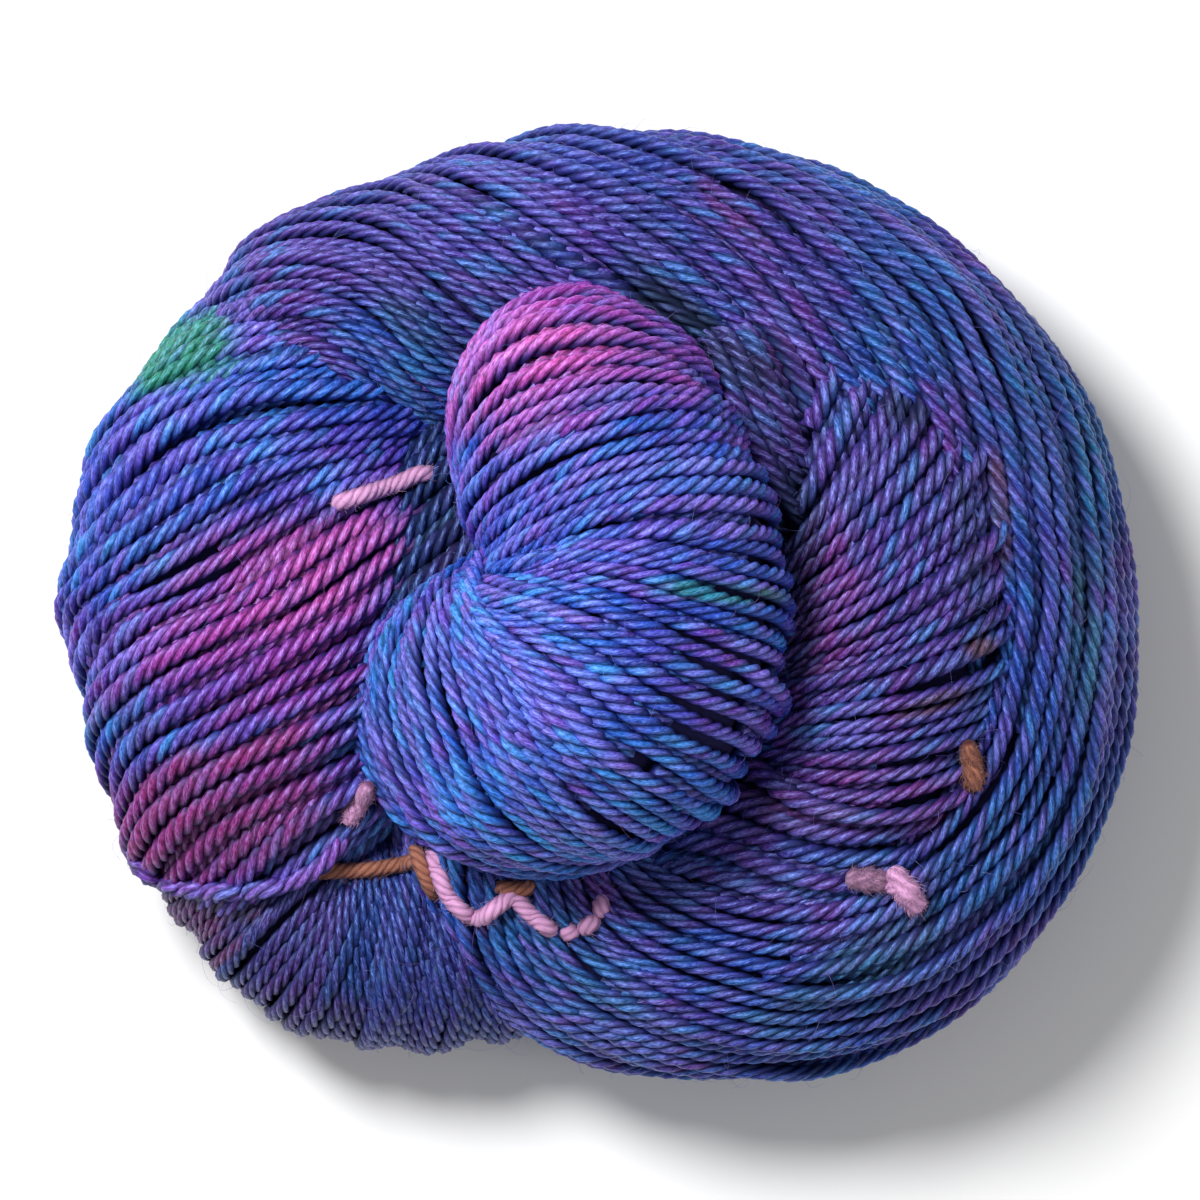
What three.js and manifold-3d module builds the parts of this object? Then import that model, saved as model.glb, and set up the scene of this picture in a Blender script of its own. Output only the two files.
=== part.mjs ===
// A skein of hand-dyed knitting yarn, twisted and coiled on itself, with its cotton ties.
// It lies on its underside. Millimetres, +Z up, origin under the middle of the skein at z = 0.
import * as THREE from "three";
import { mergeVertices } from "three/addons/utils/BufferGeometryUtils.js";
import Module from "manifold-3d";

const wasm = await Module();
wasm.setup();

// Driving dimensions
const YARN = 2.6;
const SWELL = 0.35 * YARN;
const RIDGE = 0.225 * YARN;
const PINK_TIE = 2.4;
const BROWN_TIE = 2.2;
const TIE_SIDES = 6;
const KNOT_AROUND = 10;
const KNOT_DOWN = 8;
const GAP = 0.32;
const TABLE = 400;

// Points closer than this are one point, and a line whose sideways direction is shorter is upright
const SAME_POINT = 1e-4;
const UPRIGHT = 0.2;

// Each fold of the skein is a row of oval sections along a smooth middle line.
// x, y, z is the middle of the section, wide and high are its half sizes,
// and turn is how far the yarn has wound round the fold by there, in degrees.
// ridges is the number of main twists side by side round the fold, around and steps are the
// facets round a section and the sections between two rows, and follow is the share of the
// turn that the facets take part in.
const COLUMNS = ["x", "y", "z", "wide", "high", "turn"];
const FOLDS = {
  outerRing: {
    ridges: 12, around: 36, steps: 3, follow: 1,
    rows: [
      [-44, 32, 12, 7, 7, 0],
      [-37, 38, 18, 10.5, 12, -40],
      [-22, 38.5, 18, 16.5, 16.5, -90],
      [2, 40.4, 18, 19, 17.5, -155],
      [24.5, 35, 18, 20, 18, -195],
      [40.5, 21.5, 18, 20.5, 18.5, -218],
      [47, 1, 18, 20.2, 18.5, -230],
      [45.5, -19, 18, 19.8, 18.3, -240],
      [35, -35, 17.5, 19, 17.8, -254],
      [17, -41.4, 16, 17.8, 16.3, -276],
      [0, -39.5, 15.5, 16.5, 15.5, -302],
      [-11, -30, 16, 14, 14, -340],
      [-14, -18, 18, 12, 12, -380],
    ],
  },
  leftFold: {
    ridges: 5, around: 26, steps: 6, follow: 0,
    rows: [
      [-26, 37, 9, 9, 8, 0],
      [-34.5, 29.5, 14, 16.5, 14.3, -60],
      [-39.5, 15.5, 17, 24, 17.4, -150],
      [-40.4, -1, 18, 27, 18.4, -218],
      [-41.8, -14, 17.5, 24, 17.8, -270],
      [-44, -25, 15, 18.5, 15, -315],
      [-45.5, -34, 10.5, 12.5, 10, -352],
    ],
  },
  lowerFold: {
    ridges: 1, around: 16, steps: 6, follow: 0,
    rows: [
      [-50, -20, 10, 9, 9, 0],
      [-44, -31, 11, 12, 11, 700],
      [-34, -40, 12, 14, 12, 1400],
      [-23, -42, 12, 14, 12, 2050],
      [-13, -41, 11.5, 13.5, 11.5, 2600],
      [-3, -38, 11, 12, 10, 3200],
    ],
  },
  topLoop: {
    ridges: 1, around: 22, steps: 8, follow: 0,
    rows: [
      [-2.2, 23.3, 14, 15.8, 17.5, 0],
      [-2.2, 23.2, 32, 15.8, 17.5, 400],
      [0, 17.8, 40, 17, 18.5, 880],
      [4.8, 5, 43, 18.3, 18, 1600],
      [1.6, -8, 43, 21.5, 18, 2320],
      [-6.3, -13.2, 38, 20.8, 19, 3120],
      [-10.6, -14.9, 27, 20.3, 17.8, 3840],
      [-10.6, -14.9, 14, 20, 17.6, 4400],
    ],
  },
  sideFold: {
    ridges: 7, around: 24, steps: 4, follow: 0.5,
    rows: [
      [27, 33, 15, 8, 9, 0],
      [33, 19, 25.5, 15.5, 14, -75],
      [36, 2, 28, 17.5, 14.5, -185],
      [35, -13, 27.5, 17, 14.5, -330],
      [30.5, -24.5, 25.5, 15.5, 13.8, -430],
      [19.5, -31, 21.5, 12.5, 12, -490],
      [5, -35, 17, 11, 11, -530],
    ],
  },
  innerFold: {
    ridges: 6, around: 20, steps: 3, follow: 1,
    rows: [
      [14, 38, 18, 7, 8, 0],
      [19.5, 29, 28, 8.5, 10.5, 40],
      [22, 18, 29.5, 8.5, 10.5, 95],
      [24, 7, 25, 8, 9.5, 150],
      [22, -6, 22, 9, 9, 210],
    ],
  },
  middle: {
    ridges: 5, around: 14, steps: 2, follow: 1,
    rows: [
      [-44, 2, 16, 8, 8, 0],
      [-24, 0, 17, 27, 15, 60],
      [3, -4, 17, 30, 16, 120],
      [28, -4, 16, 20, 12, 180],
      [38, -4, 16, 8, 8, 200],
    ],
  },
};

// Middle line of the yarn strand that sags out of the left fold, x, y, z
const SAGGING_STRAND = [
  [-60, -28.5, 14],
  [-58.6, -32.5, 18],
  [-56, -35, 21],
  [-52, -36.2, 23.9],
  [-47, -36.4, 25.6],
  [-42, -36, 26.2],
  [-37, -34.4, 26.1],
  [-33.5, -31.6, 26.6],
  [-31.5, -28.2, 26],
  [-29.5, -24.5, 23],
];

// Middle lines of the two cotton ties, x, y, z, and the lump of the knot in the brown one
const PINK_LINE = [
  [-33.5, 12.6, 31],
  [-31, 13.4, 35],
  [-28, 14.4, 33.8],
  [-25, 15.4, 31.9],
  [-22, 16.6, 30.4],
  [-19.8, 15, 24],
  [-21, 6, 19],
  [-24, -6, 19],
  [-26.5, -17, 23],
  [-28.6, -23.2, 29.8],
  [-30.6, -26.2, 30.4],
  [-32.2, -28.4, 26.5],
  [-30, -31.4, 18.5],
  [-25.5, -31, 18.5],
  [-21.2, -30.8, 24.5],
  [-20.2, -33.6, 28.4],
  [-18.4, -37.4, 28.6],
  [-15.2, -39.7, 29.6],
  [-12.4, -38, 31.3],
  [-10.6, -37, 31.8],
  [-8.4, -39, 32.2],
  [-5.2, -41.3, 32.5],
  [-2, -41.1, 32.8],
  [0.4, -39, 32.2],
  [1, -36.4, 29],
  [6, -34, 25.5],
  [16, -32.5, 25.5],
  [26, -32.5, 29],
  [31.5, -33.6, 34],
  [35, -34.6, 37],
  [38.6, -35.9, 37.4],
  [40.6, -37.4, 37.2],
];
const BROWN_LINE = [
  [-36.4, -34, 21.5],
  [-33.6, -33.8, 25],
  [-29, -33.6, 24.4],
  [-25, -33, 24.4],
  [-22.4, -32.6, 25.6],
  [-20.6, -35.4, 26.6],
  [-18, -36, 23],
  [-14.6, -35.6, 23.5],
  [-11.6, -35.8, 30.6],
  [-8.8, -35.8, 31],
  [-6, -33.8, 26],
  [-2, -31, 22.5],
  [8, -27, 22],
  [20, -24, 22.5],
  [32, -20, 24],
  [41, -15.5, 28],
  [45.4, -15.8, 34],
  [47, -18.4, 38],
  [47, -22.8, 38],
];
const KNOT = { x: -22, y: -33.6, z: 26.2, wide: 2, high: 2.2 };

// Smooth curve through a table of numbers, `steps` points between two rows
function throughRows(rows, steps) {
  const last = rows.length - 1;
  const mirrored = (near, far) => near.map((value, k) => 2 * value - far[k]);
  const all = [mirrored(rows[0], rows[1]), ...rows, mirrored(rows[last], rows[last - 1])];
  const points = [];
  for (let i = 0; i < last; i++) {
    const [a, b, c, d] = all.slice(i, i + 4);
    for (let j = 0; j < steps; j++) {
      const t = j / steps;
      points.push(b.map((value, k) => 0.5 * (
        2 * value
        + (c[k] - a[k]) * t
        + (2 * a[k] - 5 * value + 4 * c[k] - d[k]) * t * t
        + (3 * value - a[k] - 3 * c[k] + d[k]) * t * t * t)));
    }
  }
  points.push(rows[last]);
  return points;
}

// Sideways and upward directions at every section, carried along the line without twisting
function sectionFrames(middles) {
  const frames = [];
  let side = null;
  for (let i = 0; i < middles.length; i++) {
    const before = middles[Math.max(i - 1, 0)];
    const after = middles[Math.min(i + 1, middles.length - 1)];
    const along = new THREE.Vector3().subVectors(after, before).normalize();
    if (side === null) {
      side = new THREE.Vector3().crossVectors(along, new THREE.Vector3(0, 0, 1));
      if (side.length() < UPRIGHT) side.set(1, 0, 0);
    }
    side = side.clone().addScaledVector(along, -side.dot(along)).normalize();
    frames.push({ side, up: new THREE.Vector3().crossVectors(side, along) });
  }
  return frames;
}

// Closed skin of one fold, an oval tube with the main twists as ridges and a cap at each end
function foldGeometry({ rows, ridges, around, steps, follow }) {
  const sections = throughRows(rows, steps).map((values) =>
    Object.fromEntries(COLUMNS.map((name, k) => [name, values[k]])));
  const middles = sections.map(({ x, y, z }) => new THREE.Vector3(x, y, z));
  const frames = sectionFrames(middles);
  const positions = [];
  sections.forEach(({ wide, high, turn }, i) => {
    const wound = THREE.MathUtils.degToRad(turn);
    for (let j = 0; j < around; j++) {
      const angle = 2 * Math.PI * j / around + follow * wound;
      const out = SWELL + RIDGE * Math.cos(ridges * (angle - wound));
      const point = middles[i].clone()
        .addScaledVector(frames[i].side, (wide + out) * Math.cos(angle))
        .addScaledVector(frames[i].up, (high + out) * Math.sin(angle));
      positions.push(point.x, point.y, point.z);
    }
  });
  const last = sections.length - 1;
  const startCap = positions.length / 3;
  const endCap = startCap + 1;
  positions.push(...middles[0].toArray(), ...middles[last].toArray());
  const index = [];
  for (let j = 0; j < around; j++) {
    const next = (j + 1) % around;
    for (let i = 0; i < last; i++) {
      const a = i * around + j;
      const b = i * around + next;
      const c = a + around;
      const d = b + around;
      index.push(a, c, b, b, c, d);
    }
    index.push(startCap, j, next);
    index.push(endCap, last * around + next, last * around + j);
  }
  const geometry = new THREE.BufferGeometry();
  geometry.setAttribute("position", new THREE.Float32BufferAttribute(positions, 3));
  geometry.setIndex(index);
  return geometry;
}

// Round cord of the given width along a line of points
function cordGeometry(points, width, steps) {
  const line = new THREE.CatmullRomCurve3(points.map((point) => new THREE.Vector3(...point)));
  const ring = [];
  for (let k = 0; k < TIE_SIDES; k++) {
    const angle = 2 * Math.PI * k / TIE_SIDES;
    ring.push(new THREE.Vector2(width / 2 * Math.cos(angle), width / 2 * Math.sin(angle)));
  }
  return new THREE.ExtrudeGeometry(new THREE.Shape(ring), {
    steps,
    bevelEnabled: false,
    extrudePath: line,
  });
}

function knotGeometry(extra) {
  const geometry = new THREE.SphereGeometry(1, KNOT_AROUND, KNOT_DOWN);
  geometry.scale(KNOT.wide + extra, KNOT.wide + extra, KNOT.high + extra);
  geometry.translate(KNOT.x, KNOT.y, KNOT.z);
  return geometry;
}

function toSolid(geometry) {
  const bare = geometry.clone();
  bare.deleteAttribute("normal");
  bare.deleteAttribute("uv");
  const merged = mergeVertices(bare, SAME_POINT);
  return new wasm.Manifold(new wasm.Mesh({
    numProp: 3,
    vertProperties: new Float32Array(merged.attributes.position.array),
    triVerts: new Uint32Array(merged.index.array),
  }));
}

function toGeometry(solid) {
  const { vertProperties, triVerts } = solid.getMesh();
  const geometry = new THREE.BufferGeometry();
  geometry.setAttribute("position", new THREE.BufferAttribute(vertProperties, 3));
  geometry.setIndex(new THREE.BufferAttribute(triVerts, 1));
  geometry.computeVertexNormals();
  return geometry;
}

const PINK_STEPS = 2 * PINK_LINE.length;
const BROWN_STEPS = 2 * BROWN_LINE.length;
const STRAND_STEPS = 2 * SAGGING_STRAND.length;

// The ties
const pinkTie = toSolid(cordGeometry(PINK_LINE, PINK_TIE, PINK_STEPS));
const pinkRoom = toSolid(cordGeometry(PINK_LINE, PINK_TIE + 2 * GAP, PINK_STEPS));
const brownTie = toSolid(cordGeometry(BROWN_LINE, BROWN_TIE, BROWN_STEPS))
  .add(toSolid(knotGeometry(0)))
  .subtract(pinkRoom);
const brownRoom = toSolid(cordGeometry(BROWN_LINE, BROWN_TIE + 2 * GAP, BROWN_STEPS))
  .add(toSolid(knotGeometry(GAP)));

// The wound skein, all folds in one, cut flat where it lies and cut back round the ties
const belowTable = new THREE.BoxGeometry(TABLE, TABLE, TABLE);
belowTable.translate(0, 0, -TABLE / 2);
let wound = toSolid(cordGeometry(SAGGING_STRAND, YARN, STRAND_STEPS));
for (const fold of Object.values(FOLDS)) wound = wound.add(toSolid(foldGeometry(fold)));
wound = wound.subtract(toSolid(belowTable)).subtract(pinkRoom).subtract(brownRoom);

// Crumbs that the folds cut off inside the coil are dropped
const [body] = wound.decompose().sort((one, other) => other.volume() - one.volume());

const yarn = new THREE.MeshStandardMaterial({ color: 0x3a3fa8, roughness: 0.6, metalness: 0 });
const pinkCotton = new THREE.MeshStandardMaterial({ color: 0xd79ad0, roughness: 0.85, metalness: 0 });
const brownCotton = new THREE.MeshStandardMaterial({ color: 0x8c5a48, roughness: 0.85, metalness: 0 });

function namedMesh(name, solid, material) {
  const mesh = new THREE.Mesh(toGeometry(solid), material);
  mesh.name = name;
  return mesh;
}

const skein = new THREE.Group();
skein.add(namedMesh("skein", body, yarn));
skein.add(namedMesh("tie_pink", pinkTie, pinkCotton));
skein.add(namedMesh("tie_brown", brownTie, brownCotton));

export default skein;
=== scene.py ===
import math

import bpy
import numpy as np
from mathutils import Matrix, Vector


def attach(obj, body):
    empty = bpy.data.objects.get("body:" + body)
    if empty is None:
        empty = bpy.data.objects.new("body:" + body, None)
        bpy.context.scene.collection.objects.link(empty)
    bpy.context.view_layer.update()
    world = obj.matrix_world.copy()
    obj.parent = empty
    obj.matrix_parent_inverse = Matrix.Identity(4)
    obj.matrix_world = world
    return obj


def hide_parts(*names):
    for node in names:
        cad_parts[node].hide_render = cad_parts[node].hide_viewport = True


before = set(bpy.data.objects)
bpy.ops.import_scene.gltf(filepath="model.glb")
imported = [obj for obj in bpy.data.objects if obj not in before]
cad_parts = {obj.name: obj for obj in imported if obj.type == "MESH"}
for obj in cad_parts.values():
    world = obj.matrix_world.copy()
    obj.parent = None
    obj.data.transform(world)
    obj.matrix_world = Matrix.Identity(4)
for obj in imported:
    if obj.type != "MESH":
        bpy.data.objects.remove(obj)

# Tables are in millimetres in the part's frame, or in photograph pixels where a comment says so
MM = 0.001
PX_PER_MM = 8.0
PX_X0, PX_Y0 = 596.5, 605.0     # the frame's origin in the photograph

YARN = 2.6             # across one strand
RIDGE = 0.58           # how far the main twists stand up and down
TABLE_Z = 1.2          # lowest middle of a strand that lies on the table
PLIES = 4
PLY_PITCH = 9.2        # length in which the plies turn once round the strand
STEP = 0.95            # between two sections of a strand
COARSE_STEP = 1.4      # the same for the second layer
UNSEEN = 0.5           # share of the sections kept on the underside
FACES_DOWN = -0.3      # a strand whose outward side points further down than this
LOW = 14               # and that lies lower than this is on the underside
SAMPLE = 0.25          # between two samples of a strand before it is cut into sections
SPINE_STEP = 1.5       # between two sections of a fold
SPINE_SAMPLES = 60     # samples of a fold's curve between two rows of its table
CORD_SAMPLES = 16      # the same for a tie
COTTON_PLIES = 5
COTTON_PITCH = 6.0
PINK_TIE = 2.3         # across the pink tie
BROWN_TIE = 2.1

SEED = 4
rng = np.random.default_rng(SEED)

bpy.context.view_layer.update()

# Folds of the skein
# rows: x, y, z of the middle, half width, half height, turn in degrees, as in the solids
# ridges: bundles that stand up round the fold; slower: share of the turn that the strands make
FOLDS = {
    "ring": dict(strands=46, ridges=12, rows=[
        (-44, 32, 12, 7, 7, 0), (-37, 38, 18, 10.5, 12, -40), (-22, 38.5, 18, 16.5, 16.5, -90),
        (2, 40.4, 18, 19, 17.5, -155), (24.5, 35, 18, 20, 18, -195), (40.5, 21.5, 18, 20.5, 18.5, -218),
        (47, 1, 18, 20.2, 18.5, -230), (45.5, -19, 18, 19.8, 18.3, -240), (35, -35, 17.5, 19, 17.8, -254),
        (17, -41.4, 16, 17.8, 16.3, -276), (0, -39.5, 15.5, 16.5, 15.5, -302), (-11, -30, 16, 14, 14, -340),
        (-14, -18, 18, 12, 12, -380)]),
    "left": dict(strands=28, ridges=5, rows=[
        (-26, 37, 9, 9, 8, 0), (-34.5, 29.5, 14, 16.5, 14.3, -60), (-39.5, 15.5, 17, 24, 17.4, -150),
        (-40.4, -1, 18, 27, 18.4, -218), (-41.8, -14, 17.5, 24, 17.8, -270), (-44, -25, 15, 18.5, 15, -315),
        (-45.5, -34, 10.5, 12.5, 10, -352)],
        # dips between two bundles: turn at the top of the fold, depth, width in degrees
        creases=[(-183, 1.7, 11)]),
    "lower": dict(strands=6, ridges=1, rows=[
        (-50, -20, 10, 9, 9, 0), (-44, -31, 11, 12, 11, 700), (-34, -40, 12, 14, 12, 1400),
        (-23, -42, 12, 14, 12, 2050), (-13, -41, 11.5, 13.5, 11.5, 2600), (-3, -38, 11, 12, 10, 3200)]),
    "loop": dict(strands=5, ridges=1, rows=[
        (-2.2, 23.3, 14, 15.8, 17.5, 0), (-2.2, 23.2, 32, 15.8, 17.5, 400), (0, 17.8, 40, 17, 18.5, 880),
        (4.8, 5, 43, 18.3, 18, 1600), (1.6, -8, 43, 21.5, 18, 2320), (-6.3, -13.2, 38, 20.8, 19, 3120),
        (-10.6, -14.9, 27, 20.3, 17.8, 3840), (-10.6, -14.9, 14, 20, 17.6, 4400)]),
    "side": dict(strands=21, ridges=7, rows=[
        (27, 33, 15, 8, 9, 0), (33, 19, 25.5, 15.5, 14, -75), (36, 2, 28, 17.5, 14.5, -185),
        (35, -13, 27.5, 17, 14.5, -330), (30.5, -24.5, 25.5, 15.5, 13.8, -430),
        (19.5, -31, 21.5, 12.5, 12, -490), (5, -35, 17, 11, 11, -530)]),
    # the strands of the inner fold turn less than its main twists
    "inner": dict(strands=19, ridges=6, slower=0.45, rows=[
        (14, 38, 18, 7, 8, 0), (19.5, 29, 28, 8.5, 10.5, 40), (22, 18, 29.5, 8.5, 10.5, 95),
        (24, 7, 25, 8, 9.5, 150), (22, -6, 22, 9, 9, 210)]),
    "middle": dict(strands=34, ridges=5, rows=[
        (-44, 2, 16, 8, 8, 0), (-24, 0, 17, 27, 15, 60), (3, -4, 17, 30, 16, 120),
        (28, -4, 16, 20, 12, 180), (38, -4, 16, 8, 8, 200)]),
}


def through_rows(rows, steps):
    """Smooth curve through a table of numbers, steps points between two rows."""
    p = np.array(rows, float)
    ext = np.vstack([2 * p[0] - p[1], p, 2 * p[-1] - p[-2]])
    t = np.linspace(0, 1, steps, endpoint=False)[:, None]
    out = []
    for i in range(len(p) - 1):
        a, b, c, d = ext[i:i + 4]
        out.append(0.5 * (2 * b + (c - a) * t + (2 * a - 5 * b + 4 * c - d) * t ** 2
                          + (3 * b - a - 3 * c + d) * t ** 3))
    return np.vstack(out + [p[-1:]])


UPRIGHT = 0.2          # a line whose level part is less than this runs straight up


def unit(v):
    """The same directions, one long."""
    return v / np.maximum(np.linalg.norm(v, axis=-1, keepdims=True), 1e-9)


def section_frames(middles):
    """Directions along, to the side and up at each section, turning as little as they can."""
    along = unit(np.gradient(middles, axis=0))
    side = np.zeros_like(middles)
    s = np.cross(along[0], (0, 0, 1.0))
    if np.linalg.norm(s) < UPRIGHT:
        s = np.array((1.0, 0, 0))
    for i, t in enumerate(along):
        s = s - t * (s @ t)
        s = s / np.linalg.norm(s)
        side[i] = s
    return along, side, np.cross(side, along)


def by_length(points, step, weight=None):
    """Indices, as fractions, that cut a line into equal or weighted lengths, and the true lengths."""
    d = np.r_[0, np.cumsum(np.linalg.norm(np.diff(points, axis=0), axis=1))]
    cost = d if weight is None else np.r_[0, np.cumsum(np.diff(d) * weight[1:])]
    n = max(4, int(round(cost[-1] / step)) + 1)
    f = np.interp(np.linspace(0, cost[-1], n), cost, np.arange(len(points)))
    return f, np.interp(f, np.arange(len(points)), d)


def at(values, f):
    """Values of a table at fractions of its index."""
    i = np.arange(len(values))
    if values.ndim == 1:
        return np.interp(f, i, values)
    return np.stack([np.interp(f, i, values[:, k]) for k in range(values.shape[1])], 1)


FAR = 1e3
AT_ONCE = 4000          # points that are measured at once, to save memory


class Fold:
    """A fold's spine, cut into even sections, with its size, turn and directions at each."""

    def __init__(self, name, strands, ridges, rows, creases=(), slower=1):
        self.name, self.strands, self.ridges, self.creases = name, strands, ridges, creases
        fine = through_rows(rows, SPINE_SAMPLES)
        f, self.length = by_length(fine[:, :3], SPINE_STEP)
        rows = at(fine, f)
        self.mid = rows[:, :3]
        self.wide, self.high = rows[:, 3], rows[:, 4]
        self.turn = slower * np.radians(rows[:, 5])
        self.along, self.side, self.up = section_frames(self.mid)

    def depth(self, points):
        """How far inside the fold's oval each point is, negative outside."""
        best = np.full(len(points), -FAR, np.float32)
        small = np.minimum(self.wide, self.high)
        for start in range(0, len(points), AT_ONCE):
            p = points[start:start + AT_ONCE, None] - self.mid[None]
            t = np.einsum("nkc,kc->nk", p, self.along)
            a = np.einsum("nkc,kc->nk", p, self.side) / self.wide
            b = np.einsum("nkc,kc->nk", p, self.up) / self.high
            d = (1 - np.sqrt(a * a + b * b)) * small
            d[np.abs(t) > 1.2 * SPINE_STEP] = -FAR
            best[start:start + AT_ONCE] = d.max(1)
        return best


folds = {name: Fold(name, **spec) for name, spec in FOLDS.items()}


def wander(along, phases, lengths, amounts):
    """Smooth wandering along a strand."""
    return sum(a * np.sin(2 * np.pi * along / l + p) for l, a, p in zip(lengths, amounts, phases))


# slow sideways drift that neighbouring strands share: direction of the wave, length, amount
DRIFTS = [((0.6, 0.7, 0.4), 41, 0.5), ((-0.8, 0.5, 0.3), 29, 0.35), ((0.3, -0.9, 0.5), 19, 0.2)]
STRAY_EVERY = 900.0     # one place in this length of strand where it strays across its neighbour
STRAY_REACH = 2.2       # how far to the side
STRAY_WAY = 14.0        # over what length of strand
STRAY_LIFT = 0.9        # and how far up
SWAY = dict(lengths=(71, 37, 17), amounts=(0.17, 0.14, 0.08))   # a strand's own wandering to the side
LIFT = dict(lengths=(53, 29, 13), amounts=(0.2, 0.16, 0.08))    # and up and down
CROWD, MOST_CROWD = 0.08, 0.16      # share of a gap by which a strand lies nearer to one neighbour
STAND, MOST_STAND = 0.2, 0.4        # how far a whole strand stands up or lies low
DYE_SHIFT = 0.012       # how far the dye of a strand lies from that of its neighbour
DYE_JUMP = 0.06         # share of the strands that come from elsewhere in the hank
JUMP_BY = (0.1, 0.9)    # and how far their dye lies from that of the neighbour
CALM, CALM_COUNT, LOOSE_COUNT = 0.3, 28, 20     # folds of fewer strands than these lie more evenly


def strand_lines(fold, sink, count, shift, step):
    """The strands of one layer of a fold: dicts of points, outward directions and lengths."""
    total = fold.turn[-1] - fold.turn[0]
    samples = int(max(fold.length[-1], abs(total) * fold.wide.max()) / SAMPLE)
    f = np.linspace(0, len(fold.mid) - 1, samples)
    mid, side, up = at(fold.mid, f), at(fold.side, f), at(fold.up, f)
    wide, high, turn = at(fold.wide, f), at(fold.high, f), at(fold.turn, f)
    s = at(fold.length, f)
    lines = []
    # neighbours are dyed nearly alike
    keys = np.cumsum(np.where(rng.random(count) < DYE_JUMP, rng.uniform(*JUMP_BY, count),
                              rng.normal(0, DYE_SHIFT, count)))
    calm, loose = min(1, CALM + count / CALM_COUNT), min(1, count / LOOSE_COUNT)
    for k in range(count):
        sway_phase, lift_phase, _ = np.split(rng.uniform(0, 2 * np.pi, 8), (3, 6))
        crowd = loose * np.clip(rng.normal(0, CROWD), -MOST_CROWD, MOST_CROWD)
        stand = calm * np.clip(rng.normal(0, STAND), -MOST_STAND, MOST_STAND)
        ang = 2 * np.pi * (k + shift + crowd) / count + turn
        arc = np.r_[0, np.cumsum(np.hypot(np.diff(s), np.diff(ang) * 0.5 * (wide[1:] + high[1:])))]
        sway = wander(arc, sway_phase, **SWAY)
        lift = wander(arc, lift_phase, **LIFT) + stand
        for _ in range(rng.poisson(arc[-1] / STRAY_EVERY)):
            place, way = rng.uniform(0, arc[-1]), rng.choice((-1, 1))
            bump = np.exp(-((arc - place) / STRAY_WAY) ** 2)
            sway = sway + way * calm * STRAY_REACH * bump
            lift = lift + calm * STRAY_LIFT * np.clip(bump * 1.6, 0, 1)
        out = RIDGE * np.cos(fold.ridges * (ang - turn)) + lift - sink
        for top_turn, depth, width in fold.creases:
            over_top = (np.degrees(ang) - 90 + 180) % 360 - 180
            apart = (np.degrees(turn) - over_top - top_turn) / width
            out = out - depth * np.exp(-apart * apart)
        c, sn = np.cos(ang), np.sin(ang)
        p = mid + side * ((wide + out) * c)[:, None] + up * ((high + out) * sn)[:, None]
        nrm = unit(side * (c * high)[:, None] + up * (sn * wide)[:, None])
        for wave, length, amount in DRIFTS:
            sway = sway + amount * np.sin(2 * np.pi * (p @ unit(np.array(wave))) / length)
        across = unit(np.cross(np.gradient(p, axis=0), nrm))
        p = p + across * sway[:, None]
        p[:, 2] = np.maximum(p[:, 2], TABLE_Z + sink)
        unseen = (nrm[:, 2] < FACES_DOWN) & (p[:, 2] < LOW)
        g, even = by_length(p, step, np.where(unseen, UNSEEN, 1.0))
        lines.append(dict(p=at(p, g), n=unit(at(nrm, g)), d=even, ang=at(ang, g), s=at(s, g),
                          key=keys[k], spin=rng.uniform(0, 2 * np.pi)))
    return lines


def runs(keep, grow=2, least=5):
    """Start and end of each stretch of True, a little longer at both ends."""
    k = keep.astype(int)
    edges = np.flatnonzero(np.diff(np.r_[0, k, 0]))
    out = []
    for a, b in zip(edges[::2], edges[1::2]):
        a, b = max(a - grow, 0), min(b + grow, len(keep))
        if out and a <= out[-1][1]:
            out[-1][1] = b
        elif b - a >= least:
            out.append([a, b])
    return out


# Dye, with painted shade and painted shadow
def srgb(r, g, b):
    """Linear colour from the usual 0 to 255 values."""
    c = np.array((r, g, b), float) / 255
    return np.where(c <= 0.04045, c / 12.92, ((c + 0.055) / 1.055) ** 2.4)


DEEP = srgb(30, 26, 118)
BLUE = srgb(16, 74, 190)
SKY = srgb(60, 146, 224)
VIOLET = srgb(80, 40, 166)
LAVENDER = srgb(128, 110, 218)
PURPLE = srgb(118, 28, 150)
MAGENTA = srgb(176, 40, 148)
PINK = srgb(224, 92, 172)
CRIMSON = srgb(150, 22, 96)
TEAL = srgb(8, 124, 160)
GREEN = srgb(16, 134, 66)
RUST = srgb(120, 60, 44)
NAVY = srgb(12, 24, 128)
# painted shadow: a near-black blue for the dark hollows and gaps between folds, where shade falls
PAINTED_SHADOW = srgb(9, 8, 44)
STRONG = (GREEN, RUST, CRIMSON, MAGENTA, PINK, NAVY, PAINTED_SHADOW)     # these cover what lies under them
FAINT = 0.75            # how much of a patch in any other colour shows
# how light each fold is coloured: partly its dye, partly painted shade, darker for the folds that lie low, to
# the right or under others
DYE_AND_SHADE_LEVEL = {"ring": 0.69, "left": 1.04, "lower": 0.47, "loop": 1.17, "side": 0.65, "inner": 0.47,
             "middle": 0.52}
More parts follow.
